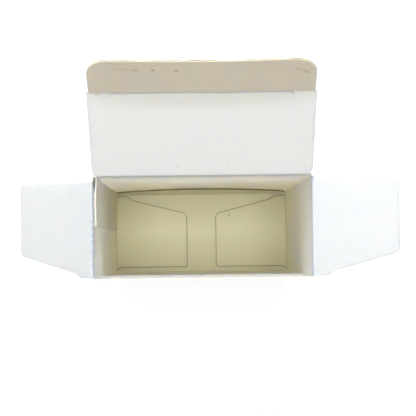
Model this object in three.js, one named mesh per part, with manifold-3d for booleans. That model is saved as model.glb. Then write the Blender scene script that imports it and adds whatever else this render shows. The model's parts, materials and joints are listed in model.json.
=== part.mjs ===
// Small folding carton: one sheet of coated board, creased and glued into a tube, with a
// tuck-in lid hinged on the back wall, a tuck-in bottom hinged on the front wall, and a
// pair of dust flaps at each end. It stands open, as when the bottle has been taken out.
// Millimetres, +Z up, front towards -Y, origin at the centre of the underside.

import * as THREE from 'three';
import { mergeVertices } from 'three/addons/utils/BufferGeometryUtils.js';
import Module from 'manifold-3d';

const wasm = await Module();
wasm.setup();

// Carton, outside sizes
const boxWidth = 60;
const boxDepth = 28.5;
const boxHeight = 102;
const boardThickness = 0.5;
const insideFoldRadius = 0.2;

// Glued seam inside the left wall
const glueFlapWidth = 13.2;
const glueFlapTaper = 2.4;
const glueFlapEndGap = 0.5;
const seamStubWidth = 1;
const seamEdgeInset = 0.3;

// Lid and bottom panel
const lidSideInset = 0.3;
const bottomSideInset = 0.5;
const heelRelief = 0.4;
const heelLength = 2;

// Tuck flaps
const tuckLength = 12.5;
const tuckCornerRadius = 5.5;
const tuckTaper = 0.3;
const tuckClearance = 0.4;
const tuckSideClearance = 0.3;

// Locking slits at the ends of each tuck fold
const slitLength = 6.2;
const slitHookDepth = 1.2;
const slitHookWidth = 0.35;

// Dust flaps
const flapLength = 24.8;
const shoulderLength = 4.1;
const shoulderClearance = 0.15;
const notchLength = 1.9;
const notchDepth = 1.35;
const slantDrop = 4.8;
const slantCornerRadius = 1.5;
const freeCornerRadius = 0.8;
const hingeSideInset = 1.9;
const reliefLength = 2.6;

// Creases: a swinging panel starts clear of the rounded edge that it turns about
const creaseGap = 0.3;
const foldedClearance = 0.1;
const stackClearance = 0.15;
const creaseLip = 0.2;

// Degrees from closed at rest and at most, and how far a tuck folds as its panel turns
const lidOpen = 139.5;
const lidTuckBend = 19;
const lidTuckPerDegree = 0.755;
const leftFlapOpen = 212;
const rightFlapOpen = 192;
const flapOpenMost = 220;
const bottomTuckBend = 93.4;
const bottomTuckPerDegree = 0.45;
const bottomOpenMost = 110;
const bottomTuckSweep = 1.45;

// Places that follow from the sizes above
const halfWidth = boxWidth / 2;
const halfDepth = boxDepth / 2;
const halfBoard = boardThickness / 2;
const outsideFoldRadius = boardThickness + insideFoldRadius;
const insideX = halfWidth - boardThickness;
const insideY = halfDepth - boardThickness;
const sideCreaseX = halfWidth - halfBoard;
const backCreaseY = halfDepth - halfBoard;
const frontCreaseY = -backCreaseY;
const lidCreaseZ = boxHeight - halfBoard;
const flapCreaseZ = lidCreaseZ - boardThickness - stackClearance;
const bottomCreaseZ = halfBoard;
const bottomFlapZ = bottomCreaseZ + boardThickness;
const flapInset = boardThickness + shoulderClearance;
const panelLength = boxDepth - 2 * boardThickness - tuckClearance;
const lidWidth = boxWidth - 2 * lidSideInset;
const bottomWidth = boxWidth - 2 * bottomSideInset;
const lidTuckBendClosed = lidTuckBend + lidTuckPerDegree * lidOpen;
const bottomTuckBendMost = bottomTuckBend + bottomTuckPerDegree * bottomOpenMost;

// Directions for an outline's first axis, its second axis and its extrusion
const X = new THREE.Vector3(1, 0, 0);
const Y = new THREE.Vector3(0, 1, 0);
const Z = new THREE.Vector3(0, 0, 1);
const minusX = X.clone().negate();
const minusY = Y.clone().negate();
const minusZ = Z.clone().negate();
const fromAbove = directions(X, Y, Z);
const fromTheSide = directions(Y, Z, X);
const fromTheFront = directions(X, Z, minusY);
const fromTheBack = directions(minusX, Z, Y);

function directions(first, second, third) {
  return new THREE.Matrix4().makeBasis(first, second, third);
}

function radians(degrees) {
  return THREE.MathUtils.degToRad(degrees);
}

// A closed solid for cutting and joining, from a geometry's merged positions
function asSolid(geometry) {
  geometry.deleteAttribute('normal');
  geometry.deleteAttribute('uv');
  const merged = mergeVertices(geometry, 1e-5);
  return new wasm.Manifold(new wasm.Mesh({
    numProp: 3,
    vertProperties: new Float32Array(merged.attributes.position.array),
    triVerts: new Uint32Array(merged.index.array),
  }));
}

function asGeometry(solid) {
  const mesh = solid.getMesh();
  const geometry = new THREE.BufferGeometry();
  geometry.setAttribute('position', new THREE.BufferAttribute(mesh.vertProperties, 3));
  geometry.setIndex(new THREE.BufferAttribute(mesh.triVerts, 1));
  const faceted = geometry.toNonIndexed();
  faceted.computeVertexNormals();
  return faceted;
}

function extrude(outline, from, to, turned) {
  const geometry = new THREE.ExtrudeGeometry(outline, {
    depth: to - from,
    bevelEnabled: false,
    curveSegments: 10,
  });
  geometry.translate(0, 0, from);
  geometry.applyMatrix4(turned);
  return geometry;
}

// A flat piece of board whose mid-plane passes through the origin
function board(outline, turned) {
  return extrude(outline, -halfBoard, halfBoard, turned);
}

// How far from its crease a panel starts, so that it never meets the panel that it
// folds against. tightestAngle is the smallest angle between the two, in degrees.
function setback(tightestAngle) {
  const cornersMeet = halfBoard / Math.tan(radians(tightestAngle) / 2);
  return Math.max(halfBoard + creaseGap, cornersMeet + foldedClearance);
}

// The walls seen from above. At the back left the back wall folds round inside the left
// wall, and the left wall's cut edge leaves a narrow groove beside that fold.
function tubeOutline() {
  const outer = outsideFoldRadius;
  const inner = insideFoldRadius;
  const seamX = -insideX;
  const stubX = seamX + boardThickness;
  const outline = new THREE.Shape();
  outline.moveTo(-halfWidth, -halfDepth + outer);
  outline.absarc(-halfWidth + outer, -halfDepth + outer, outer, Math.PI, 1.5 * Math.PI);
  outline.absarc(halfWidth - outer, -halfDepth + outer, outer, 1.5 * Math.PI, 2 * Math.PI);
  outline.absarc(halfWidth - outer, halfDepth - outer, outer, 0, 0.5 * Math.PI);
  outline.absarc(seamX + outer, halfDepth - outer, outer, 0.5 * Math.PI, Math.PI);
  outline.lineTo(seamX, halfDepth - seamEdgeInset);
  outline.lineTo(-halfWidth, halfDepth - seamEdgeInset);
  outline.closePath();

  const hole = new THREE.Path();
  hole.moveTo(seamX, -insideY + inner);
  hole.absarc(seamX + inner, -insideY + inner, inner, Math.PI, 1.5 * Math.PI);
  hole.absarc(insideX - inner, -insideY + inner, inner, 1.5 * Math.PI, 2 * Math.PI);
  hole.absarc(insideX - inner, insideY - inner, inner, 0, 0.5 * Math.PI);
  hole.absarc(stubX + inner, insideY - inner, inner, 0.5 * Math.PI, Math.PI);
  hole.lineTo(stubX, insideY - seamStubWidth);
  hole.lineTo(seamX, insideY - seamStubWidth);
  hole.closePath();
  outline.holes.push(hole);
  return outline;
}

// Front wall from the side: rounded at the bottom crease, cut square at the rim
function frontWallProfile() {
  const profile = new THREE.Shape();
  profile.moveTo(-halfDepth, boxHeight);
  profile.lineTo(-halfDepth, bottomCreaseZ);
  profile.absarc(frontCreaseY, bottomCreaseZ, halfBoard, Math.PI, 2 * Math.PI);
  profile.lineTo(-insideY, boxHeight);
  profile.closePath();
  return profile;
}

// Back wall from the side: cut square at the bottom, rounded at the lid's crease
function backWallProfile() {
  const profile = new THREE.Shape();
  profile.moveTo(insideY, 0);
  profile.lineTo(halfDepth, 0);
  profile.lineTo(halfDepth, lidCreaseZ);
  profile.absarc(backCreaseY, lidCreaseZ, halfBoard, 0, Math.PI);
  profile.closePath();
  return profile;
}

// Side wall from the front: rounded at the top crease, folded inwards at the bottom
function sideWallProfile() {
  const flapTop = bottomFlapZ + halfBoard;
  const flapUnderside = bottomFlapZ - halfBoard;
  const lipX = halfWidth - outsideFoldRadius - creaseLip;
  const profile = new THREE.Shape();
  profile.moveTo(insideX, flapCreaseZ);
  profile.lineTo(insideX, flapTop + insideFoldRadius);
  profile.absarc(insideX - insideFoldRadius, flapTop + insideFoldRadius, insideFoldRadius,
    0, -0.5 * Math.PI, true);
  profile.lineTo(lipX, flapTop);
  profile.lineTo(lipX, flapUnderside);
  profile.absarc(halfWidth - outsideFoldRadius, flapUnderside + outsideFoldRadius,
    outsideFoldRadius, -0.5 * Math.PI, 0);
  profile.lineTo(halfWidth, flapCreaseZ);
  profile.absarc(sideCreaseX, flapCreaseZ, halfBoard, 0, Math.PI);
  profile.closePath();
  return profile;
}

// Glue flap seen from the side: its ends are cut back and taper towards its free edge
function glueFlapOutline() {
  const freeY = insideY - glueFlapWidth;
  const bottomZ = bottomFlapZ + halfBoard + glueFlapEndGap;
  const topZ = flapCreaseZ - halfBoard - glueFlapEndGap;
  const outline = new THREE.Shape();
  outline.moveTo(insideY + halfBoard, bottomZ);
  outline.lineTo(insideY + halfBoard, topZ);
  outline.lineTo(freeY, topZ - glueFlapTaper);
  outline.lineTo(freeY, bottomZ + glueFlapTaper);
  outline.closePath();
  return outline;
}

// Dust flap, first axis out from its crease and second axis along the crease towards the
// corner where the outer panel is hinged. The other corner, on the tuck's side, has the
// locking shoulder, a notch and a long slant. Both insets are measured from the outside.
function dustFlapOutline(start, shoulderInset, cornerInset) {
  const hingeEdge = halfDepth - hingeSideInset;
  const hingeCorner = halfDepth - cornerInset;
  const shoulder = -halfDepth + shoulderInset;
  const notchEnd = shoulderLength + notchLength;
  const slantStart = shoulder + notchDepth;
  const slantEnd = slantStart + slantDrop;
  const slope = slantDrop / (flapLength - notchEnd);
  const outline = new THREE.Shape();
  outline.moveTo(start, hingeCorner);
  outline.lineTo(start, shoulder);
  outline.lineTo(shoulderLength, shoulder);
  outline.lineTo(notchEnd, slantStart);
  outline.lineTo(flapLength - slantCornerRadius, slantEnd - slope * slantCornerRadius);
  outline.quadraticCurveTo(flapLength, slantEnd, flapLength, slantEnd + slantCornerRadius);
  outline.lineTo(flapLength, hingeEdge - freeCornerRadius);
  outline.quadraticCurveTo(flapLength, hingeEdge, flapLength - freeCornerRadius, hingeEdge);
  outline.lineTo(start + reliefLength, hingeEdge);
  outline.quadraticCurveTo(start, hingeEdge, start, hingeCorner);
  outline.closePath();
  return outline;
}

// Lid or bottom panel, across the box and out from its crease. Between the locking slits
// its far edge runs on to the tuck's fold, and each slit hooks back into the panel.
function panelOutline(width, start) {
  const half = width / 2;
  const slitX = half - slitLength;
  const hookX = slitX + slitHookWidth;
  const hookY = panelLength - slitHookDepth;
  const corners = [
    [half - heelRelief, start],
    [half, start + heelLength],
    [half, panelLength],
    [hookX, panelLength],
    [hookX, hookY],
    [slitX, hookY],
    [slitX, panelLength + boardThickness],
  ];
  const mirrored = corners.map(([x, y]) => [-x, y]).reverse();
  return new THREE.Shape([...corners, ...mirrored].map(([x, y]) => new THREE.Vector2(x, y)));
}

// The same panel from the side: square where it starts, rounded at the tuck's fold
function panelProfile(start) {
  const profile = new THREE.Shape();
  profile.moveTo(start, -halfBoard);
  profile.lineTo(panelLength, -halfBoard);
  profile.absarc(panelLength, 0, halfBoard, -0.5 * Math.PI, 0.5 * Math.PI);
  profile.lineTo(start, halfBoard);
  profile.closePath();
  return profile;
}

// Tuck flap, across the box and out from its fold. The wings beside the slits start
// further out, which leaves the dust flaps' shoulders room under the closed lid.
function tuckOutline(width, panelWidth, start, wingStart) {
  const half = width / 2;
  const tip = half - tuckTaper;
  const slitX = panelWidth / 2 - slitLength;
  const roundY = tuckLength - tuckCornerRadius;
  const roundX = tip - tuckCornerRadius;
  const outline = new THREE.Shape();
  outline.moveTo(-slitX, wingStart);
  outline.lineTo(-slitX, start);
  outline.lineTo(slitX, start);
  outline.lineTo(slitX, wingStart);
  outline.lineTo(half, wingStart);
  outline.lineTo(tip, roundY);
  outline.absarc(roundX, roundY, tuckCornerRadius, 0, 0.5 * Math.PI);
  outline.absarc(-roundX, roundY, tuckCornerRadius, 0.5 * Math.PI, Math.PI);
  outline.lineTo(-half, wingStart);
  outline.closePath();
  return outline;
}

// Walls, glue flap and bottom dust flaps, all one piece of board
function cartonBody() {
  const straight = halfDepth - outsideFoldRadius;
  const right = halfWidth - outsideFoldRadius;
  const seam = -insideX;
  const sideBottom = bottomFlapZ - halfBoard + outsideFoldRadius;
  const flapStart = outsideFoldRadius - halfBoard;
  const sweptInset = boardThickness + bottomTuckSweep;
  const flap = board(dustFlapOutline(flapStart, sweptInset, flapInset), fromAbove);
  const rightFlap = flap.clone().applyMatrix4(directions(minusX, minusY, Z));
  const leftFlap = flap.clone().applyMatrix4(directions(X, minusY, minusZ));
  const pieces = [
    extrude(tubeOutline(), sideBottom, flapCreaseZ, fromAbove),
    extrude(frontWallProfile(), -right, right, fromTheSide),
    extrude(backWallProfile(), seam + outsideFoldRadius, right, fromTheSide),
    extrude(sideWallProfile(), -straight, straight, fromTheFront),
    extrude(sideWallProfile(), -straight, straight, fromTheBack),
    extrude(glueFlapOutline(), seam - halfBoard, seam + boardThickness, fromTheSide),
    rightFlap.translate(sideCreaseX, 0, bottomFlapZ),
    leftFlap.translate(-sideCreaseX, 0, bottomFlapZ),
  ];
  const joined = pieces.map(asSolid).reduce((whole, piece) => whole.add(piece));
  return asGeometry(joined);
}

function hingedPanel(width, start, turned) {
  const outline = asSolid(extrude(panelOutline(width, start), -boardThickness,
    boardThickness, fromAbove));
  const strip = asSolid(extrude(panelProfile(start), -width / 2, width / 2, fromTheSide));
  return asGeometry(strip.intersect(outline)).applyMatrix4(turned);
}

// The wings clear a shoulder of board lying below the closed lid by shoulderClearance
function lidTuck() {
  const lean = radians(lidTuckBendClosed - 90);
  const shoulderDepth = boardThickness + halfBoard + stackClearance + shoulderClearance;
  const wingStart = (shoulderDepth + halfBoard * Math.sin(lean)) / Math.cos(lean);
  const width = 2 * (insideX - tuckSideClearance);
  const start = setback(180 - lidTuckBendClosed);
  return board(tuckOutline(width, lidWidth, start, wingStart), directions(X, minusY, minusZ));
}

// The bottom tuck is narrower, because it passes the glue flap at its left end
function bottomTuck() {
  const start = setback(180 - bottomTuckBendMost);
  const wingStart = start + halfBoard;
  const width = 2 * (insideX - boardThickness - tuckSideClearance);
  return board(tuckOutline(width, bottomWidth, start, wingStart), fromAbove);
}

function topDustFlap(cornerInset, turned) {
  const start = setback(270 - flapOpenMost);
  return board(dustFlapOutline(start, flapInset, cornerInset), turned);
}

function piece(name, geometry, color, roughness) {
  const material = new THREE.MeshStandardMaterial({ color, roughness, metalness: 0 });
  const mesh = new THREE.Mesh(geometry, material);
  mesh.name = name;
  return mesh;
}

function hinge(x, y, z, ...pieces) {
  const group = new THREE.Group();
  group.position.set(x, y, z);
  group.add(...pieces);
  return group;
}

const carton = new THREE.Group();
carton.add(piece('carton_body', cartonBody(), '#f0ecdc', 0.75));

const lidTuckHinge = hinge(0, -panelLength, 0, piece('lid_tuck', lidTuck(), '#eceae2', 0.7));
lidTuckHinge.rotation.x = radians(lidTuckBend);
const lidGeometry = hingedPanel(lidWidth, setback(90), directions(X, minusY, minusZ));
const lid = piece('lid', lidGeometry, '#f1f3f1', 0.7);
const lidHinge = hinge(0, backCreaseY, lidCreaseZ, lid, lidTuckHinge);
lidHinge.rotation.x = -radians(lidOpen);
carton.add(lidHinge);

// The left flap's corner also clears the fold that leads into the glue flap
const seamCornerInset = flapInset + seamStubWidth;
const leftGeometry = topDustFlap(seamCornerInset, fromAbove);
const leftFlap = piece('left_dust_flap', leftGeometry, '#f5f9fb', 0.65);
const leftFlapHinge = hinge(-sideCreaseX, 0, flapCreaseZ, leftFlap);
leftFlapHinge.rotation.y = -radians(leftFlapOpen);
carton.add(leftFlapHinge);

const rightGeometry = topDustFlap(flapInset, directions(minusX, Y, minusZ));
const rightFlap = piece('right_dust_flap', rightGeometry, '#f5f9fb', 0.65);
const rightFlapHinge = hinge(sideCreaseX, 0, flapCreaseZ, rightFlap);
rightFlapHinge.rotation.y = radians(rightFlapOpen);
carton.add(rightFlapHinge);

const bottomTuckPiece = piece('bottom_tuck', bottomTuck(), '#ded6b8', 0.75);
const bottomTuckHinge = hinge(0, panelLength, 0, bottomTuckPiece);
bottomTuckHinge.rotation.x = radians(bottomTuckBend);
const bottomGeometry = hingedPanel(bottomWidth, setback(90), fromAbove);
const bottomLid = piece('bottom_lid', bottomGeometry, '#e6e0c8', 0.75);
carton.add(hinge(0, frontCreaseY, bottomCreaseZ, bottomLid, bottomTuckHinge));

export default carton;
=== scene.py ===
import json
import math

import bpy
import numpy as np
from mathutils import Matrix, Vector, geometry


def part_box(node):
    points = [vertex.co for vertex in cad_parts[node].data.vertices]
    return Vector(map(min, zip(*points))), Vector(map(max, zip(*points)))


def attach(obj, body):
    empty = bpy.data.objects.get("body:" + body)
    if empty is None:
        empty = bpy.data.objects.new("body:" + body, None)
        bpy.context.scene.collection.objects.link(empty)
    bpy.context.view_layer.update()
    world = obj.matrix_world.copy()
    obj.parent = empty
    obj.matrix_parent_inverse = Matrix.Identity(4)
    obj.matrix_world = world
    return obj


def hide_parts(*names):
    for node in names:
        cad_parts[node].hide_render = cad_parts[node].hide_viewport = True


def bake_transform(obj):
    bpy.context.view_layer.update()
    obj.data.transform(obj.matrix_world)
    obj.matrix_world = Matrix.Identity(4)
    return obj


# A small folding carton of coated board, standing open on a white floor and seen from above.
# Every piece of board is drawn flat, in millimetres, and then folded along a line of straight
# runs with a small arc at each crease. The sizes and the creases come from the CAD frame.

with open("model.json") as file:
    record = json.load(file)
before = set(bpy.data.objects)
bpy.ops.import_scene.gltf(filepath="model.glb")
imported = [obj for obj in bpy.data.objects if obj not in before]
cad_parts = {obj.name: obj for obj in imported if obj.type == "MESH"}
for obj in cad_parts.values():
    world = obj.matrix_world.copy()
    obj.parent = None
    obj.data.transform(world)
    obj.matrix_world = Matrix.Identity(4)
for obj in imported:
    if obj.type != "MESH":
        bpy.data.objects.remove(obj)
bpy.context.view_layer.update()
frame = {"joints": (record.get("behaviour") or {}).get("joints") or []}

MM = 0.001
JOINTS = {joint["name"]: joint for joint in frame["joints"]}


def place_mm(joint):
    return [value / MM for value in JOINTS[joint]["pos_m"]]


def size_mm(node):
    low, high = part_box(node)
    return [value / MM for value in high - low]


# Sizes of the carton, as in the CAD source
BOARD = 0.5
HALF_BOARD = BOARD / 2
WIDTH, DEPTH, HEIGHT = size_mm("carton_body")
SIDE_X = WIDTH / 2 - HALF_BOARD
WALL_Y = DEPTH / 2 - HALF_BOARD
SEAM_X = -SIDE_X + BOARD
FLAP_CREASE_Z = place_mm("left_flap_hinge")[2]
BOTTOM_FLAP_Z = place_mm("bottom_hinge")[2] + BOARD
GLUE_FLAP_WIDTH = 13.2
GLUE_FLAP_TAPER = 2.4
LEFT_WALL_EDGE_Y = DEPTH / 2 - 0.3

LID_WIDTH = size_mm("lid")[0]
TUCK_WIDTH = size_mm("lid_tuck")[0]
TUCK_LENGTH = 12.5
TUCK_CORNER = 5.5
SLIT = 6.2
SLIT_HOOK = 1.2
SLIT_WIDTH = 0.12
BOTTOM_WIDTH = size_mm("bottom_lid")[0]
BOTTOM_TUCK_WIDTH = size_mm("bottom_tuck")[0]
LID_CREASE_INSET = 1.2
PANEL_RELIEF_START = 0.35
PANEL_RELIEF_LENGTH = 2.2
PANEL_RELIEF_DEPTH = 0.4

FLAP_LENGTH = 24.8
SHOULDER_LENGTH = 4.1
NOTCH_LENGTH = 1.9
NOTCH_DEPTH = 1.35
SLANT_DROP = 4.8
SLANT_CORNER = 1.5
FREE_CORNER = 0.8
FLAP_CORNER_RUN = 0.5
NOTCH_TOP_RUN, NOTCH_TOP_DROP = 0.4, 0.3
NOTCH_FOOT_RUN, NOTCH_FOOT_RISE = 0.3, 0.2
HINGE_SIDE_INSET = 1.9
RELIEF_START = 0.45
RELIEF_LENGTH = 2.6
RELIEF_CORNER = 0.6
FLAP_INSET = 0.65
SEAM_CORNER_INSET = 1.65
BOTTOM_SHOULDER_INSET = 1.95

# Small cuts at the ends of the walls' edges
HAIR = 0.1
STEP_RUN = 0.2
WALL_CORNER_RUN = 0.4
WALL_CORNER_DROP = 0.3
BACK_CORNER_DROP = 0.5
GLUE_FLAP_GAP = 0.5

# Directions in which the open panels lie, in degrees above the horizontal
TUCK_RISE = 59.5
LEFT_FLAP_DROOP = -32
RIGHT_FLAP_DROOP = -12
BOTTOM_TUCK_TURN = 93.4

# Finish of the board
CREASE_RADIUS = 0.45
JOIN = 0.4  # how far from a crease the next piece of board takes over
BEAD_HEIGHT = 0.07
BEAD_WIDTH = 0.32
EDGE_BEVEL = 0.07
SLIT_GAP = 0.05
FLAP_CREASE_RADIUS = 0.35
# Width of the darkened border round the bottom's flaps: crushed cut, and painted shade of their gaps
CRUSH_AND_GAP_SHADE = 0.17
LINE_STUB = 4  # length of a folding line before its crease
LINE_REACH = 40  # and after it, which is more than any panel needs

# How far the board springs from flat, and over what lengths
BACK_BULGE = 1.0
BULGE_HEIGHT = 6
BULGE_REACH = 20
SEAM_LIFT = 0.5
SEAM_LIFT_WIDTH = 3.5
SEAM_LIFT_HEIGHT = 25
SEAM_LIFT_EASE = 3
FLAP_SPRING = 0.12
BOTTOM_TUCK_BOW = 0.75
LID_TUCK_CURL = 0.6

# Painted shade of the slot behind the glue flap's top corner: place from the left wall's back edge and
# rim
SLOT_IN, SLOT_DOWN = 1.8, 2.6
SLOT_SIZE = (2.8, 3.0)
SLOT_STRENGTH = 0.95


# Folding line: points in a plane, joined by straight runs, with an arc at each inner point.
# A distance along the straight runs, counted from the point named origin, picks a place.
class FoldLine:
    def __init__(self, points, origin=0, radius=CREASE_RADIUS):
        self.points = [np.array(point, float) for point in points]
        steps = [b - a for a, b in zip(self.points, self.points[1:])]
        lengths = [np.linalg.norm(step) for step in steps]
        self.runs = [step / length for step, length in zip(steps, lengths)]
        reached = np.concatenate([[0], np.cumsum(lengths)])
        self.at = reached - reached[origin]
        self.radius = radius

    def reach(self, corner):
        """How far the arc at a corner runs to each side of it, and half of its turn."""
        before, after = self.runs[corner - 1], self.runs[corner]
        turn = math.atan2(before[0] * after[1] - before[1] * after[0], before @ after)
        return self.radius * math.tan(abs(turn) / 2), turn / 2

    def stations(self):
        """Distances at which a sheet needs a row of vertices to follow the arcs."""
        found = []
        for corner in range(1, len(self.points) - 1):
            reach, half_turn = self.reach(corner)
            count = max(2, 2 * math.ceil(abs(math.degrees(half_turn)) / 14))
            found += list(self.at[corner] + np.linspace(-reach, reach, count + 1))
        return found

    def place(self, distance):
        run = int(np.clip(np.searchsorted(self.at, distance) - 1, 0, len(self.runs) - 1))
        for corner in (run, run + 1):
            if not 0 < corner < len(self.points) - 1:
                continue
            reach, half_turn = self.reach(corner)
            past = distance - self.at[corner]
            if reach > 1e-6 and abs(past) < reach:
                return self.on_arc(corner, past / reach, half_turn)
        direction = self.runs[run]
        point = self.points[run] + direction * (distance - self.at[run])
        return point, np.array([-direction[1], direction[0]])

    def on_arc(self, corner, share, half_turn):
        side = math.copysign(1, half_turn)
        middle = self.runs[corner - 1] + self.runs[corner]
        middle /= np.linalg.norm(middle)
        towards = side * np.array([-middle[1], middle[0]])
        centre = self.points[corner] + towards * self.radius / math.cos(half_turn)
        turned = share * half_turn
        normal = rotated(towards, turned)
        return centre - self.radius * normal, side * normal


def rotated(vector, angle):
    cosine, sine = math.cos(angle), math.sin(angle)
    return np.array([cosine * vector[0] - sine * vector[1], sine * vector[0] + cosine * vector[1]])


def heading(degrees):
    return np.array([math.cos(math.radians(degrees)), math.sin(math.radians(degrees))])


def curve(start, control, end, count=6):
    """Points of a quadratic curve after its start."""
    shares = np.linspace(0, 1, count + 1)[1:]
    return [tuple((1 - t) ** 2 * np.array(start) + 2 * t * (1 - t) * np.array(control)
                  + t * t * np.array(end)) for t in shares]


def arc(centre, radius, first, last, count=10):
    """Points of an arc, between two angles in degrees."""
    return [tuple(np.array(centre) + radius * heading(a)) for a in np.linspace(first, last, count + 1)]


def divided(outline, rows, step):
    """The outline with points where it crosses a row, and no stretch longer than step."""
    points = []
    for a, b in zip(outline, outline[1:] + outline[:1]):
        a, b = np.array(a, float), np.array(b, float)
        along = b - a
        shares = {0.0}
        if abs(along[0]) > 1e-9:
            shares |= {float((row - a[0]) / along[0]) for row in rows}
        count = math.ceil(np.linalg.norm(along) / step)
        shares |= {i / count for i in range(count)}
        length = np.linalg.norm(along)
        last = -1.0
        for share in sorted(s for s in shares if 0 <= s < 1 - 0.03 / max(length, 0.03)):
            if last < 0 or (share - last) * length > 0.03:
                points.append(a + share * along)
                last = share
    return points


def inset(points, distance):
    """Each point moved inwards, for an outline that runs anticlockwise."""
    moved = []
    for before, here, after in zip(points[-1:] + points[:-1], points, points[1:] + points[:1]):
        first, second = here - before, after - here
        first /= np.linalg.norm(first)
        second /= np.linalg.norm(second)
        normals = np.array([-first[1], first[0]]), np.array([-second[1], second[0]])
        middle = normals[0] + normals[1]
        length = np.linalg.norm(middle)
        if length < 0.5:
            moved.append(here + distance * normals[1])
            continue
        middle /= length
        moved.append(here + distance * middle / max(middle @ normals[0], 0.5))
    return moved


def clear_of(points, outline, distance):
    """Which points lie further than distance from every edge of the outline."""
    a = np.array(outline)
    b = np.roll(a, -1, axis=0)
    along = b - a
    squared = (along ** 2).sum(1)
    keep = []
    for point in points:
        share = np.clip(((point - a) * along).sum(1) / squared, 0, 1)
        gaps = np.linalg.norm(a + share[:, None] * along - point, axis=1)
        keep.append(gaps.min() > distance)
    return np.array(keep, bool)


def anticlockwise(outline):
    area = sum(a[0] * b[1] - b[0] * a[1] for a, b in zip(outline, outline[1:] + outline[:1]))
    return outline if area > 0 else outline[::-1]


def flat_mesh(outline, rows, step, bevel):
    """A flat triangle mesh inside an outline, with its own border and the one round it."""
    border = divided(anticlockwise(outline), rows, step)
    inner = inset(border, bevel)
    low = np.min(inner, axis=0)
    high = np.max(inner, axis=0)
    count_across = max(2, math.ceil((high[1] - low[1]) / step))
    across = np.linspace(low[1], high[1], count_across + 1)[1:-1]
    count_along = max(2, math.ceil((high[0] - low[0]) / step))
    even = np.linspace(low[0], high[0], count_along + 1)[1:-1]
    along = [x for x in even if all(abs(x - row) > 0.25 * step for row in rows)]
    along += [row for row in rows if low[0] + 0.02 < row < high[0] - 0.02]
    grid = np.array([(x, y) for x in sorted(along) for y in across])
    grid = grid[clear_of(grid, inner, 0.2)]
    points = [Vector(p) for p in inner] + [Vector(p) for p in grid]
    loop = [(i, (i + 1) % len(inner)) for i in range(len(inner))]
    made = geometry.delaunay_2d_cdt(points, loop, [], 1, 1e-6)
    vertices, faces, sources = made[0], made[2], made[3]
    order = {ids[0]: i for i, ids in enumerate(sources) if ids}
    ring = [order[i] for i in range(len(inner))]
    return np.array(vertices), faces, ring, np.array(border)


def smooth(share):
    share = min(max(share, 0), 1)
    return share * share * (3 - 2 * share)


def no_bow(distance, across):
    return 0.0


def board_piece(name, outline, line, to_place, inside, materials, bow=no_bow, bead=BEAD_HEIGHT,
                step=2.0, settle=None, crush_and_gap_shade=None):
    """A folded piece of board. outline is drawn flat, as distance along the folding line and
    place across it. inside is 1 where the inside face is to the left of the line, else -1.
    A crush width gives how far the cut has pressed the inside face's border down, where that shows; that
    border then takes the edge material, which there also paints the shade of the gap."""
    bevel = crush_and_gap_shade or EDGE_BEVEL
    vertices, faces, ring, border = flat_mesh(outline, line.stations(), step, bevel)
    half = HALF_BOARD

    def folded(point, depth):
        distance, across = point
        centre, normal = line.place(distance)
        raised = 0.0
        if depth >= half - 1e-9:
            raised = bead * math.exp(-((distance / BEAD_WIDTH) ** 2))
        offset = inside * (depth + raised + bow(distance, across))
        first, second = centre + normal * offset
        x, y, z = to_place(first, second, across)
        if settle is not None:
            x, y, z = settle(distance, across, x, y, z)
        return x * MM, y * MM, z * MM

    count, rim = len(vertices), len(border)
    edge_depth = half - EDGE_BEVEL
    places = [folded(v, half) for v in vertices] + [folded(v, -half) for v in vertices]
    places += [folded(b, edge_depth) for b in border] + [folded(b, -edge_depth) for b in border]
    flat = list(vertices) * 2 + list(border) * 2
    polygons = [list(face) for face in faces] + [[i + count for i in face[::-1]] for face in faces]
    kinds = [0] * len(faces) + [1] * len(faces)
    upper, lower = 2 * count, 2 * count + rim
    for i in range(rim):
        j = (i + 1) % rim
        a, b = ring[i], ring[j]
        polygons.append([b, a, upper + i, upper + j])
        polygons.append([upper + j, upper + i, lower + i, lower + j])
        polygons.append([lower + j, lower + i, a + count, b + count])
        kinds += [2 if crush_and_gap_shade else 0, 2, 1]

    mesh = bpy.data.meshes.new(name)
    mesh.from_pydata(places, [], polygons)
    for material in materials:
        mesh.materials.append(material)
    mesh.polygons.foreach_set("material_index", kinds)
    sheet = mesh.uv_layers.new(name="sheet")
    corners = np.array([loop.vertex_index for loop in mesh.loops])
    sheet.data.foreach_set("uv", np.array(flat, np.float32)[corners].ravel())
    if signed_volume(mesh) < 0:
        mesh.flip_normals()
    mesh.polygons.foreach_set("use_smooth", [True] * len(polygons))
    mesh.set_sharp_from_angle(angle=math.radians(32))
    piece = bpy.data.objects.new(name, mesh)
    bpy.context.scene.collection.objects.link(piece)
    return piece


def signed_volume(mesh):
    total = 0.0
    for polygon in mesh.polygons:
        first, *others = [mesh.vertices[i].co for i in polygon.vertices]
        for a, b in zip(others, others[1:]):
            total += first.dot(a.cross(b))
    return total


# Light that lands on one face of the board glows through to the other, warmer
GLOW_DEPTH = 4.0
WALL_GLOW_DEPTH = 2.6
SEAM_GLOW_DEPTH = 0.3
TUCK_GLOW_DEPTH = 1.0
BOTTOM_GLOW_DEPTH = 0.3
EDGE_GLOW_DEPTH = 0.3
SEAM_SOFTNESS = 0.3
SEAM_BEGINS = 0.8  # past the fold into the glue flap
GLOW_TINT = (1.0, 0.85, 0.55)


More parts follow.
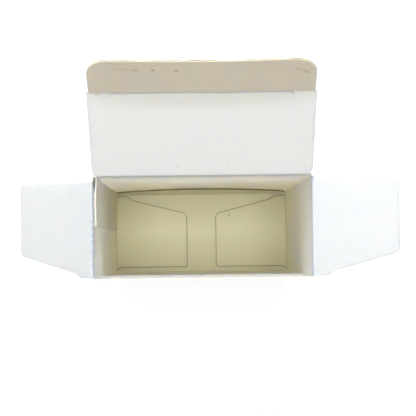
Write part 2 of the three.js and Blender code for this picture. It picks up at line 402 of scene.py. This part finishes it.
# Materials: the flat sheet's own coordinates, in millimetres, carry all patterns, so that they
# stay where they are when a panel swings
class BoardNodes:
    def __init__(self, name):
        self.material = bpy.data.materials.new(name)
        self.material.use_nodes = True
        self.nodes = self.material.node_tree.nodes
        self.links = self.material.node_tree.links
        self.shader = self.nodes["Principled BSDF"]
        self.sheet = self.new("ShaderNodeUVMap", uv_map="sheet").outputs["UV"]

    def new(self, kind, **settings):
        node = self.nodes.new(kind)
        for key, value in settings.items():
            setattr(node, key, value)
        return node

    def noise(self, scale, detail, stretch=(1, 1)):
        mapping = self.new("ShaderNodeMapping")
        mapping.inputs["Scale"].default_value = (stretch[0], stretch[1], 1)
        self.links.new(self.sheet, mapping.inputs["Vector"])
        texture = self.new("ShaderNodeTexNoise")
        texture.inputs["Scale"].default_value = scale
        texture.inputs["Detail"].default_value = detail
        self.links.new(mapping.outputs["Vector"], texture.inputs["Vector"])
        return texture.outputs["Fac"]

    def remap(self, value, low, high, new_low, new_high, smooth=False):
        node = self.new("ShaderNodeMapRange")
        if smooth:
            node.interpolation_type = "SMOOTHSTEP"
        for key, number in (("From Min", low), ("From Max", high),
                            ("To Min", new_low), ("To Max", new_high)):
            node.inputs[key].default_value = number
        self.links.new(value, node.inputs["Value"])
        return node.outputs["Result"]

    def mix(self, share, first, second):
        """A mix of two colours, each a socket or a tuple."""
        node = self.new("ShaderNodeMix", data_type="RGBA")
        self.links.new(share, node.inputs["Factor"])
        for value, socket in ((first, node.inputs[6]), (second, node.inputs[7])):
            if isinstance(value, tuple):
                socket.default_value = (*value, 1)
            else:
                self.links.new(value, socket)
        return node.outputs[2]

    def ramp_along(self, axis, stops):
        """Colours at distances along the sheet: axis 0 along the folding line, 1 across it."""
        parts = self.new("ShaderNodeSeparateXYZ")
        self.links.new(self.sheet, parts.inputs["Vector"])
        low, high = stops[0][0], stops[-1][0]
        share = self.remap(parts.outputs[axis], low, high, 0, 1)
        node = self.new("ShaderNodeValToRGB")
        ramp = node.color_ramp
        ramp.interpolation = "EASE"
        while len(ramp.elements) < len(stops):
            ramp.elements.new(0.5)
        for element, (distance, colour) in zip(ramp.elements, stops):
            element.position = (distance - low) / (high - low)
            element.color = (*colour, 1)
        self.links.new(share, node.inputs["Fac"])
        return node.outputs["Color"]

    def mark(self, colour, place, size, angle, tint, strength):
        """A soft oval mark on the sheet, laid over a colour."""
        mapping = self.new("ShaderNodeMapping", vector_type="TEXTURE")
        mapping.inputs["Location"].default_value = (*place, 0)
        mapping.inputs["Rotation"].default_value = (0, 0, math.radians(angle))
        mapping.inputs["Scale"].default_value = (*size, 1)
        self.links.new(self.sheet, mapping.inputs["Vector"])
        length = self.new("ShaderNodeVectorMath", operation="LENGTH")
        self.links.new(mapping.outputs["Vector"], length.inputs[0])
        share = self.remap(length.outputs["Value"], 0.35, 1, strength, 0, smooth=True)
        return self.mix(share, colour, tint)

    def finish(self, colour, glow=GLOW_DEPTH, roughness=0.6, fibre=0.010, undulation=0.12):
        """Colour variation, roughness and the bumps of paper fibre under a thin coating.
        glow is a depth in millimetres, or a socket that gives it in metres."""
        mottle = self.remap(self.noise(0.16, 3), 0.35, 0.7, 0, 0.06)
        colour = self.mix(mottle, colour, MOTTLE_TINT)
        grain = self.remap(self.noise(2.6, 4, (1, 0.45)), 0.3, 0.75, 0, 0.05)
        colour = self.mix(grain, colour, GRAIN_TINT)
        self.links.new(colour, self.shader.inputs["Base Color"])
        rough = self.remap(self.noise(0.9, 3), 0.3, 0.7, roughness - 0.05, roughness + 0.05)
        self.links.new(rough, self.shader.inputs["Roughness"])
        self.shader.inputs["Specular IOR Level"].default_value = 0.3
        self.shader.inputs["Subsurface Weight"].default_value = 1
        if isinstance(glow, float):
            self.shader.inputs["Subsurface Scale"].default_value = glow * MM
        else:
            self.links.new(glow, self.shader.inputs["Subsurface Scale"])
        self.shader.inputs["Subsurface Radius"].default_value = GLOW_TINT
        fine = self.new("ShaderNodeBump")
        fine.inputs["Strength"].default_value = 1
        fine.inputs["Distance"].default_value = fibre * MM
        self.links.new(self.noise(3.2, 5, (1, 0.5)), fine.inputs["Height"])
        broad = self.new("ShaderNodeBump")
        broad.inputs["Strength"].default_value = 1
        broad.inputs["Distance"].default_value = undulation * MM
        self.links.new(self.noise(0.07, 2), broad.inputs["Height"])
        self.links.new(fine.outputs["Normal"], broad.inputs["Normal"])
        self.links.new(broad.outputs["Normal"], self.shader.inputs["Normal"])
        return self.material


WHITE = (0.975, 0.97, 0.945)
OUTSIDE_WHITE = (0.90, 0.905, 0.90)
# The lid and top flaps are the walls' white board painted darker and bluer: painted shade that holds down
# their stronger light, with a painted cool tint of the key light
LID_SHADED_WHITE = (0.73, 0.78, 0.805)
# The tuck is the same board painted darker and warmer: painted shade, as it faces away from the key light
TUCK_SHADED_WHITE = (0.86, 0.80, 0.73)
FLAP_SHADED_WHITE = (0.59, 0.635, 0.66)
# Painted warm shade of the deep interior: the walls go from white at the rim to deep cream at the bottom,
# and the bottom and its flaps take the deep cream
CREAM_SHADE = (0.985, 0.94, 0.82)
UPPER_CREAM_SHADE = (0.985, 0.96, 0.89)
DEEP_CREAM_SHADE = (0.99, 0.915, 0.69)
SLOT_SHADE_BROWN = (0.10, 0.07, 0.04)
TAN = (0.58, 0.46, 0.26)
GREY = (0.62, 0.60, 0.56)
# Painted shade along the lid's crease
CREASE_SHADE_TINT = (0.88, 0.84, 0.74)
MOTTLE_TINT = (0.80, 0.765, 0.68)
GRAIN_TINT = (0.72, 0.68, 0.58)


def outside_material():
    nodes = BoardNodes("board_outside")
    return nodes.finish(OUTSIDE_WHITE, roughness=0.42, fibre=0.004, undulation=0.10)


def edge_material(name, pale, dark, scale=4.0):
    nodes = BoardNodes(name)
    share = nodes.remap(nodes.noise(scale, 4), 0.35, 0.65, 0, 1)
    colour = nodes.mix(share, pale, dark)
    return nodes.finish(colour, EDGE_GLOW_DEPTH, roughness=0.85, fibre=0.03, undulation=0.05)


def walls_material(marks, seam_starts, seam_ends):
    """Light glows through the walls, but hardly through the two boards of the glue seam."""
    nodes = BoardNodes("board_walls")
    parts = nodes.new("ShaderNodeSeparateXYZ")
    nodes.links.new(nodes.sheet, parts.inputs["Vector"])
    seam_glow, wall_glow = SEAM_GLOW_DEPTH * MM, WALL_GLOW_DEPTH * MM
    behind = nodes.remap(parts.outputs[0], seam_ends - SEAM_SOFTNESS, seam_ends + SEAM_SOFTNESS,
                         seam_glow, wall_glow)
    glued = nodes.remap(parts.outputs[0], seam_starts - SEAM_SOFTNESS, seam_starts + SEAM_SOFTNESS,
                        wall_glow, seam_glow)
    glow = nodes.new("ShaderNodeMath", operation="MINIMUM")
    nodes.links.new(behind, glow.inputs[0])
    nodes.links.new(glued, glow.inputs[1])
    # Painted shade: the walls grow darker and warmer towards the bottom
    stops = [(0, DEEP_CREAM_SHADE), (0.55 * HEIGHT, CREAM_SHADE), (0.82 * HEIGHT, UPPER_CREAM_SHADE), (HEIGHT, WHITE)]
    shade = nodes.ramp_along(1, stops)
    for mark in marks:
        shade = nodes.mark(shade, *mark)
    return nodes.finish(shade, glow.outputs[0])


def stroke(start, end, width, tint, strength):
    """A soft line on the sheet, as the values of a mark."""
    middle = ((start[0] + end[0]) / 2, (start[1] + end[1]) / 2)
    angle = math.degrees(math.atan2(end[1] - start[1], end[0] - start[0]))
    return middle, (math.dist(start, end) / 2 + width, width), angle, tint, strength


def panel_material(name, shade, marks=(), glow=GLOW_DEPTH):
    """shade is one colour, or stops of a ramp that starts at the crease."""
    nodes = BoardNodes(name)
    if isinstance(shade, list):
        shade = nodes.ramp_along(0, shade)
    for mark in marks:
        shade = nodes.mark(shade, *mark)
    return nodes.finish(shade, glow)


# Outlines, each as distance from its crease and place along the crease
def dust_flap_outline(start, shoulder, hinge_edge, hinge_corner):
    """Runs from the shoulder, at the low end of the crease, round to the hinged panel's side."""
    notch_end = SHOULDER_LENGTH + NOTCH_LENGTH
    slant_start = shoulder + NOTCH_DEPTH
    slant_end = slant_start + SLANT_DROP
    slope = SLANT_DROP / (FLAP_LENGTH - notch_end)
    outline = [(start, hinge_corner), (start, shoulder), (SHOULDER_LENGTH - FLAP_CORNER_RUN, shoulder)]
    top_end = (SHOULDER_LENGTH + NOTCH_TOP_RUN, shoulder + NOTCH_TOP_DROP)
    outline += curve(outline[-1], (SHOULDER_LENGTH, shoulder), top_end, 3)
    outline += [(notch_end - NOTCH_FOOT_RUN, slant_start - NOTCH_FOOT_RISE)]
    foot_end = (notch_end + FLAP_CORNER_RUN, slant_start + FLAP_CORNER_RUN * slope)
    outline += curve(outline[-1], (notch_end, slant_start), foot_end, 3)
    corner = (FLAP_LENGTH - SLANT_CORNER, slant_end - slope * SLANT_CORNER)
    outline += [corner] + curve(corner, (FLAP_LENGTH, slant_end), (FLAP_LENGTH, slant_end + SLANT_CORNER))
    far = (FLAP_LENGTH, hinge_edge - FREE_CORNER)
    outline += [far] + curve(far, (FLAP_LENGTH, hinge_edge), (FLAP_LENGTH - FREE_CORNER, hinge_edge), 4)
    relief = (RELIEF_LENGTH + RELIEF_CORNER, hinge_edge)
    relief_end = (RELIEF_START, hinge_corner)
    outline += [relief] + curve(relief, (FLAP_CORNER_RUN, hinge_edge), relief_end, 8)
    return outline


def mirrored_pair(corners):
    """Corners on one side of the middle line, then the same on the other side."""
    return corners + [(distance, -across) for distance, across in reversed(corners)]


def panel_outline(width, length):
    """Lid or bottom panel: relieved at its crease, cut back where the tuck's crease begins."""
    half = width / 2
    slit = half - SLIT
    crease_end = WIDTH / 2 - LID_CREASE_INSET
    return mirrored_pair([
        (-JOIN, crease_end), (0, crease_end), (PANEL_RELIEF_START, half - PANEL_RELIEF_DEPTH),
        (PANEL_RELIEF_LENGTH, half), (length - SLIT_GAP, half),
        (length - SLIT_GAP, slit + SLIT_WIDTH), (length - SLIT_HOOK, slit + SLIT_WIDTH),
        (length - SLIT_HOOK, slit), (length - JOIN, slit),
    ])


def tuck_outline(width, panel_width):
    half = width / 2
    slit = panel_width / 2 - SLIT
    centre = (TUCK_LENGTH - TUCK_CORNER, half - TUCK_CORNER)
    return mirrored_pair([(-JOIN, slit), (SLIT_GAP, slit), (SLIT_GAP, half)]
                         + arc(centre, TUCK_CORNER, 90, 0))


def wall_outline(line):
    """The four walls and the glue flap, unrolled: distance round the tube, and height."""
    front_left, front_right, back_right, back_left, glue_end = line.at[1:6]
    flap_join = FLAP_CREASE_Z - JOIN
    lid_join = place_mm("lid_hinge")[2] - JOIN
    bottom_join = place_mm("bottom_hinge")[2] + JOIN
    bottom_flap_join = BOTTOM_FLAP_Z + JOIN
    side_top = FLAP_CREASE_Z + HAIR
    foot = WALL_CORNER_DROP
    flap_side = DEPTH / 2 - FLAP_INSET - HAIR
    seam_side = DEPTH / 2 - SEAM_CORNER_INSET
    bottom_shoulder = DEPTH / 2 - BOTTOM_SHOULDER_INSET
    lid_side = WIDTH / 2 - LID_CREASE_INSET
    glue_top = FLAP_CREASE_Z - HALF_BOARD - GLUE_FLAP_GAP
    glue_bottom = BOTTOM_FLAP_Z + HALF_BOARD + GLUE_FLAP_GAP

    def left(y):
        return line.at[1] - (y + WALL_Y)

    def front(x):
        return line.at[1] + (x + SIDE_X)

    def right(y):
        return line.at[2] + (y + WALL_Y)

    def back(x):
        return line.at[3] + (SIDE_X - x)

    top = [
        (line.at[0], side_top), (left(seam_side), side_top), (left(seam_side), flap_join),
        (left(-flap_side), flap_join), (left(-flap_side), side_top),
        (front_left - STEP_RUN, side_top), (front_left, HEIGHT - WALL_CORNER_DROP),
        (front_left + WALL_CORNER_RUN, HEIGHT), (front_right - WALL_CORNER_RUN, HEIGHT),
        (front_right, HEIGHT - WALL_CORNER_DROP), (front_right + STEP_RUN, side_top),
        (right(-flap_side), side_top), (right(-flap_side), flap_join),
        (right(flap_side), flap_join), (right(flap_side), side_top - WALL_CORNER_DROP),
        (back_right, side_top - BACK_CORNER_DROP), (back(lid_side), side_top - HAIR),
        (back(lid_side), lid_join), (back(-lid_side), lid_join),
        (back(-lid_side), side_top - WALL_CORNER_DROP),
        (back_left + WALL_CORNER_DROP, glue_top), (glue_end, glue_top - GLUE_FLAP_TAPER),
    ]
    bottom = [
        (glue_end, glue_bottom + GLUE_FLAP_TAPER), (back_left + WALL_CORNER_DROP, glue_bottom),
        (back_left, foot), (back_left - WALL_CORNER_RUN, 0), (back_right + WALL_CORNER_RUN, 0),
        (back_right, foot), (right(bottom_shoulder), foot),
        (right(bottom_shoulder), bottom_flap_join), (right(-flap_side), bottom_flap_join),
        (right(-flap_side), foot), (front(lid_side), foot), (front(lid_side), bottom_join),
        (front(-lid_side), bottom_join), (front(-lid_side), foot), (left(-flap_side), foot),
        (left(-flap_side), bottom_flap_join), (left(bottom_shoulder), bottom_flap_join),
        (left(bottom_shoulder), foot), (line.at[0], foot),
    ]
    return top + bottom


# Shared materials
OUTSIDE = outside_material()
EDGE = edge_material("board_cut_edge", (0.91, 0.89, 0.82), (0.82, 0.77, 0.65))
WORN_EDGE = edge_material("board_worn_edge", (0.78, 0.73, 0.60), (0.40, 0.32, 0.18), 0.13)
# Dark brown edges: crushed cut edges, and painted shade of the gaps beside the bottom's flaps and tuck
DARK_EDGE_AND_GAP_SHADE = edge_material("board_crushed_edge_and_gap_shade", (0.34, 0.28, 0.15), (0.20, 0.16, 0.08))

# A line of painted shade along the lid's crease, then small marks of use: specks of bare fibre, a cracked
# corner, a scratch, smudges
CREASE_SHADE_LINE = stroke((0, -60), (0, 60), 0.5, CREASE_SHADE_TINT, 0.6)
LID_MARKS = [
    CREASE_SHADE_LINE,
    stroke((5.68, 7.49), (1.33, 6.78), 0.28, GREY, 0.45),
    stroke((2.87, -7.71), (2.87, -6.11), 0.4, GREY, 0.5),
    stroke((26.20, 23.18), (27.20, 23.18), 0.3, TAN, 0.9),
    stroke((26.54, -27.78), (26.54, -26.18), 0.3, TAN, 0.8),
]
TUCK_MARKS = [
    stroke((9.27, -22.65), (9.27, -18.25), 0.4, TAN, 0.35),
    stroke((9.02, -17.56), (9.02, -15.96), 0.5, TAN, 0.55),
    stroke((9.0, -12.56), (9.0, -11.96), 0.5, TAN, 0.8),
    stroke((8.85, -6.83), (8.85, -6.03), 0.55, TAN, 0.8),
    stroke((9.26, 22.89), (8.45, 25.54), 0.35, TAN, 0.5),
    stroke((8.45, 25.54), (6.84, 27.55), 0.4, TAN, 0.65),
]
LEFT_FLAP_MARKS = [
    ((21.23, 2.59), (0.7, 0.6), 0, GREY, 0.4),
    ((21.9, 1.13), (0.4, 0.4), 0, GREY, 0.35),
]
BOTTOM_FLAP_MARKS = [
    ((19.97, 5.41), (0.45, 0.45), 0, TAN, 0.9),
]


def from_above(first, second, height):
    return first, second, height


def across_x(first, second, across):
    """The folding line lies in the plane of y and z, and the crease runs along x."""
    return across, first, second


def across_y(first, second, across):
    """The folding line lies in the plane of x and z, and the crease runs along y."""
    return first, across, second


def world_points(line, to_place, distances):
    """Points of a folding line in metres, at the given distances along it."""
    return [tuple(value * MM for value in to_place(*line.place(d)[0], 0)) for d in distances]


def swing(piece, line, to_place):
    start, end = world_points(line, to_place, (-JOIN, JOIN))
    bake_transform(piece)


def make_walls():
    glue_end_y = DEPTH / 2 - BOARD - GLUE_FLAP_WIDTH
    line = FoldLine([(-SIDE_X, LEFT_WALL_EDGE_Y), (-SIDE_X, -WALL_Y), (SIDE_X, -WALL_Y),
                     (SIDE_X, WALL_Y), (SEAM_X, WALL_Y), (SEAM_X, glue_end_y)])
    back_left = line.at[4]

    def settle(distance, height, x, y, z):
        """The bottom's tuck presses the back wall out, low in its middle, and the glue flap has
        come a little away from the left wall at the top corner."""
        if line.at[3] < distance < back_left:
            middle = 1 - (x / SIDE_X) ** 2
            low_down = math.exp(-((z - BULGE_HEIGHT) / BULGE_REACH) ** 2)
            y += BACK_BULGE * middle ** 2 * low_down
        if distance > back_left - SEAM_LIFT_EASE:
            near_corner = math.exp(-(max(distance - back_left, 0) / SEAM_LIFT_WIDTH) ** 2)
            near_top = math.exp(-((HEIGHT - z) / SEAM_LIFT_HEIGHT) ** 2)
            ease = min(max((distance - back_left + SEAM_LIFT_EASE) / SEAM_LIFT_EASE, 0), 1)
            x += SEAM_LIFT * near_corner * near_top * ease
        return x, y, z

    # A dark brown mark of painted shade in the slot behind the glue flap's top corner
    slot = (line.at[0] + SLOT_IN, HEIGHT - SLOT_DOWN)
    marks = [(slot, SLOT_SIZE, 0, SLOT_SHADE_BROWN, SLOT_STRENGTH)]
    material = walls_material(marks, back_left + SEAM_BEGINS, line.at[0] + GLUE_FLAP_WIDTH)
    piece = board_piece("walls_board", wall_outline(line), line, from_above, 1,
                        [material, OUTSIDE, EDGE], bead=0, step=2.5, settle=settle)
    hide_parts("carton_body")
    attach(piece, "carton")


def sprung(distance, across):
    """A bottom dust flap stands off the panel below it by a hair towards its free end."""
    return FLAP_SPRING * smooth(distance / FLAP_LENGTH)


def make_bottom_flaps():
    # The bottom's flaps take the deep cream of painted shade
    plain = panel_material("board_bottom_flap", DEEP_CREAM_SHADE, glow=BOTTOM_GLOW_DEPTH)
    marked = panel_material("board_bottom_flap_marked", DEEP_CREAM_SHADE, BOTTOM_FLAP_MARKS, BOTTOM_GLOW_DEPTH)
    outline = dust_flap_outline(-JOIN, -(DEPTH / 2 - BOTTOM_SHOULDER_INSET),
                                DEPTH / 2 - HINGE_SIDE_INSET, DEPTH / 2 - FLAP_INSET - HAIR)
    turned = [(distance, -across) for distance, across in outline]
    for name, side, material in (("left", -1, plain), ("right", 1, marked)):
        line = FoldLine([(side * SIDE_X, BOTTOM_FLAP_Z + LINE_STUB), (side * SIDE_X, BOTTOM_FLAP_Z),
                         (0, BOTTOM_FLAP_Z)], origin=1)
        # Their dark edges paint the shade of the gaps round them
        piece = board_piece(f"bottom_{name}_flap_board", turned, line, across_y, -side,
                            [material, OUTSIDE, DARK_EDGE_AND_GAP_SHADE], bow=sprung, crush_and_gap_shade=CRUSH_AND_GAP_SHADE)
        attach(piece, "carton")


def tuck_bow(distance, across):
    """The bottom's tuck springs back against the wall, in its middle more than at its ends."""
    middle = 1 - (2 * across / BOTTOM_TUCK_WIDTH) ** 2
    return -(BOTTOM_TUCK_BOW + BACK_BULGE * middle) * smooth(distance / TUCK_LENGTH)


def make_bottom():
    _, crease_y, crease_z = place_mm("bottom_hinge")
    _, fold_y, fold_z = place_mm("bottom_tuck_fold")
    length = fold_y - crease_y
    line = FoldLine([(crease_y, crease_z + LINE_STUB), (crease_y, crease_z),
                     (fold_y + LINE_STUB, fold_z)], origin=1, radius=HALF_BOARD)
    # The bottom and its tuck take the deep cream of painted shade
    material = panel_material("board_bottom", DEEP_CREAM_SHADE, glow=BOTTOM_GLOW_DEPTH)
    piece = board_piece("bottom_board", panel_outline(BOTTOM_WIDTH, length), line, across_x, 1,
                        [material, OUTSIDE, EDGE], bead=0)
    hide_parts("bottom_lid")
    swing(piece, line, across_x)

    fold = np.array([fold_y, fold_z])
    tip = fold + LINE_REACH * heading(BOTTOM_TUCK_TURN)
    line = FoldLine([fold - (LINE_STUB, 0), fold, tip], origin=1, radius=HALF_BOARD)
    # The tuck's dark edges paint the shade of its gap against the back wall
    piece = board_piece("bottom_tuck_board", tuck_outline(BOTTOM_TUCK_WIDTH, BOTTOM_WIDTH), line,
                        across_x, 1, [material, OUTSIDE, DARK_EDGE_AND_GAP_SHADE], bow=tuck_bow, bead=0)
    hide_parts("bottom_tuck")
    swing(piece, line, across_x)


def tuck_curl(distance, across):
    """The ends of the lid's tuck curl back a little more than its middle."""
    return -LID_TUCK_CURL * (2 * across / TUCK_WIDTH) ** 2 * smooth(distance / TUCK_LENGTH)


def make_lid():
    _, crease_y, crease_z = place_mm("lid_hinge")
    _, fold_y, fold_z = place_mm("lid_tuck_fold")
    crease, fold = np.array([crease_y, crease_z]), np.array([fold_y, fold_z])
    length = np.linalg.norm(fold - crease)
    rise = (fold - crease) / length
    line = FoldLine([crease - (0, LINE_STUB), crease, crease + LINE_REACH * rise], origin=1)
    # The lid's colour is painted shade, darker and bluer than the walls' white
    material = panel_material("board_lid", LID_SHADED_WHITE, LID_MARKS)
    piece = board_piece("lid_board", panel_outline(LID_WIDTH, length), line, across_x, 1,
                        [material, OUTSIDE, WORN_EDGE])
    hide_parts("lid")
    swing(piece, line, across_x)

    tip = fold + LINE_REACH * heading(TUCK_RISE)
    line = FoldLine([fold - LINE_STUB * rise, fold, tip], origin=1)
    # The tuck's colour is painted shade, blended in from the lid's colour past the fold
    tuck_painted_shades = [(-JOIN, LID_SHADED_WHITE), (-0.1, LID_SHADED_WHITE), (0.5, TUCK_SHADED_WHITE), (TUCK_LENGTH, TUCK_SHADED_WHITE)]
    material = panel_material("board_lid_tuck", tuck_painted_shades, TUCK_MARKS, TUCK_GLOW_DEPTH)
    piece = board_piece("lid_tuck_board", tuck_outline(TUCK_WIDTH, LID_WIDTH), line, across_x, 1,
                        [material, OUTSIDE, WORN_EDGE], bow=tuck_curl)
    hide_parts("lid_tuck")
    swing(piece, line, across_x)


def make_top_flaps():
    for name, side, droop, corner_inset, marks in (
            ("left", -1, LEFT_FLAP_DROOP, SEAM_CORNER_INSET, LEFT_FLAP_MARKS),
            ("right", 1, RIGHT_FLAP_DROOP, FLAP_INSET + HAIR, [])):
        crease = np.array([side * SIDE_X, FLAP_CREASE_Z])
        outward = heading(droop) * (side, 1)
        line = FoldLine([crease - (0, LINE_STUB), crease, crease + LINE_REACH * outward], origin=1,
                        radius=FLAP_CREASE_RADIUS)
        outline = dust_flap_outline(-JOIN, -(DEPTH / 2 - FLAP_INSET - HAIR),
                                    DEPTH / 2 - HINGE_SIDE_INSET, DEPTH / 2 - corner_inset)
        # The flaps' colour is painted shade, darker and bluer than the walls' white
        material = panel_material(f"board_{name}_flap", FLAP_SHADED_WHITE, marks)
        piece = board_piece(f"{name}_flap_board", outline, line, across_y, side,
                            [material, OUTSIDE, WORN_EDGE])
        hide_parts(f"{name}_dust_flap")
        swing(piece, line, across_y)


# Floor: the camera sees it as white with a faint shadow, and all else sees it as plain white
FLOOR_REACH = 3
FLOOR_DROP = 0.00002
FLOOR_WHITE = 0.92
FLOOR_SHADED = 0.20
FLOOR_GLOW = 0.88


def make_floor():
    mesh = bpy.data.meshes.new("floor")
    reach = FLOOR_REACH
    mesh.from_pydata([(-reach, -reach, 0), (reach, -reach, 0), (reach, reach, 0), (-reach, reach, 0)],
                     [], [(0, 1, 2, 3)])
    floor = bpy.data.objects.new("floor", mesh)
    bpy.context.scene.collection.objects.link(floor)
    floor.location.z = -FLOOR_DROP
    material = bpy.data.materials.new("floor_white")
    material.use_nodes = True
    nodes, links = material.node_tree.nodes, material.node_tree.links
    nodes.clear()
    plain = nodes.new("ShaderNodeBsdfDiffuse")
    plain.inputs["Color"].default_value = (FLOOR_WHITE, FLOOR_WHITE, FLOOR_WHITE, 1)
    shaded = nodes.new("ShaderNodeBsdfDiffuse")
    shaded.inputs["Color"].default_value = (FLOOR_SHADED, FLOOR_SHADED, FLOOR_SHADED, 1)
    glow = nodes.new("ShaderNodeEmission")
    glow.inputs["Strength"].default_value = FLOOR_GLOW
    seen = nodes.new("ShaderNodeAddShader")
    links.new(shaded.outputs[0], seen.inputs[0])
    links.new(glow.outputs[0], seen.inputs[1])
    path = nodes.new("ShaderNodeLightPath")
    either = nodes.new("ShaderNodeMath")
    either.operation = "MAXIMUM"
    links.new(path.outputs["Is Camera Ray"], either.inputs[0])
    links.new(path.outputs["Is Glossy Ray"], either.inputs[1])
    mixed = nodes.new("ShaderNodeMixShader")
    links.new(either.outputs[0], mixed.inputs["Fac"])
    links.new(plain.outputs[0], mixed.inputs[1])
    links.new(seen.outputs[0], mixed.inputs[2])
    output = nodes.new("ShaderNodeOutputMaterial")
    links.new(mixed.outputs[0], output.inputs["Surface"])
    mesh.materials.append(material)


# Lamps, each aimed at the carton's rim: distances and sizes in metres, powers in watts
TARGET = Vector((0, 0, HEIGHT * MM))
KEY_ELEVATION = 52.7
KEY_DISTANCE = 0.75
KEY_SIZE = (0.45, 0.03)
KEY_POWER = 5.3
OVERHEAD_DISTANCE = 0.9
OVERHEAD_SIZE = (0.34, 0.26)
OVERHEAD_POWER = 4.1
FILL_DIRECTION = (0, -0.64, 0.77)
FILL_DISTANCE = 1.0
FILL_SIZE = (0.9, 0.6)
FILL_POWER = 0.8
SIDE_AWAY, SIDE_BEHIND, SIDE_RISE = 0.7, 0.4, 0.6
SIDE_DISTANCE = 0.9
SIDE_SIZE = (0.8, 0.4)
LEFT_POWER = 0.8
RIGHT_POWER = 0.2
WORLD_STRENGTH = 0.06


def softbox(name, direction, distance, size, power):
    data = bpy.data.lights.new(name, "AREA")
    data.shape = "RECTANGLE"
    data.size, data.size_y = size
    data.energy = power
    lamp = bpy.data.objects.new(name, data)
    bpy.context.scene.collection.objects.link(lamp)
    towards = Vector(direction).normalized()
    lamp.location = TARGET + towards * distance
    lamp.rotation_euler = towards.to_track_quat("Z", "Y").to_euler()


def make_light():
    elevation = math.radians(KEY_ELEVATION)
    behind = (0, math.cos(elevation), math.sin(elevation))
    softbox("key_from_behind", behind, KEY_DISTANCE, KEY_SIZE, KEY_POWER)
    softbox("overhead", (0, 0, 1), OVERHEAD_DISTANCE, OVERHEAD_SIZE, OVERHEAD_POWER)
    softbox("fill_from_the_front", FILL_DIRECTION, FILL_DISTANCE, FILL_SIZE, FILL_POWER)
    for name, side, power in (("back_left", -1, LEFT_POWER), ("back_right", 1, RIGHT_POWER)):
        direction = (side * SIDE_AWAY, SIDE_BEHIND, SIDE_RISE)
        softbox(name, direction, SIDE_DISTANCE, SIDE_SIZE, power)
    world = bpy.data.worlds.new("studio")
    world.use_nodes = True
    bpy.context.scene.world = world
    nodes, links = world.node_tree.nodes, world.node_tree.links
    background = nodes["Background"]
    path = nodes.new("ShaderNodeLightPath")
    strength = nodes.new("ShaderNodeMapRange")
    strength.inputs["To Min"].default_value = WORLD_STRENGTH
    strength.inputs["To Max"].default_value = 1
    links.new(path.outputs["Is Camera Ray"], strength.inputs["Value"])
    links.new(strength.outputs["Result"], background.inputs["Strength"])
    background.inputs["Color"].default_value = (1, 1, 1, 1)


# Camera, fitted to the carton's corners in the photograph, in pixels of its 416 pixel frame
FRAME_PIXELS = 416
FOCAL_PIXELS = 1298.1
SENSOR = 36
CAMERA_PLACE = (-2.015, -5.265, 452.1)
CAMERA_TURN = (1.6933, -0.539, -0.6783)


def make_camera():
    data = bpy.data.cameras.new("camera")
    data.sensor_fit = "HORIZONTAL"
    data.sensor_width = SENSOR
    data.lens = SENSOR * FOCAL_PIXELS / FRAME_PIXELS
    data.clip_start = 0.01
    camera = bpy.data.objects.new("camera", data)
    bpy.context.scene.collection.objects.link(camera)
    camera.location = [value * MM for value in CAMERA_PLACE]
    camera.rotation_euler = [math.radians(value) for value in CAMERA_TURN]
    bpy.context.scene.camera = camera


make_walls()
make_bottom_flaps()
make_bottom()
make_lid()
make_top_flaps()
make_floor()
make_light()
make_camera()
bpy.context.scene.view_settings.view_transform = "Standard"
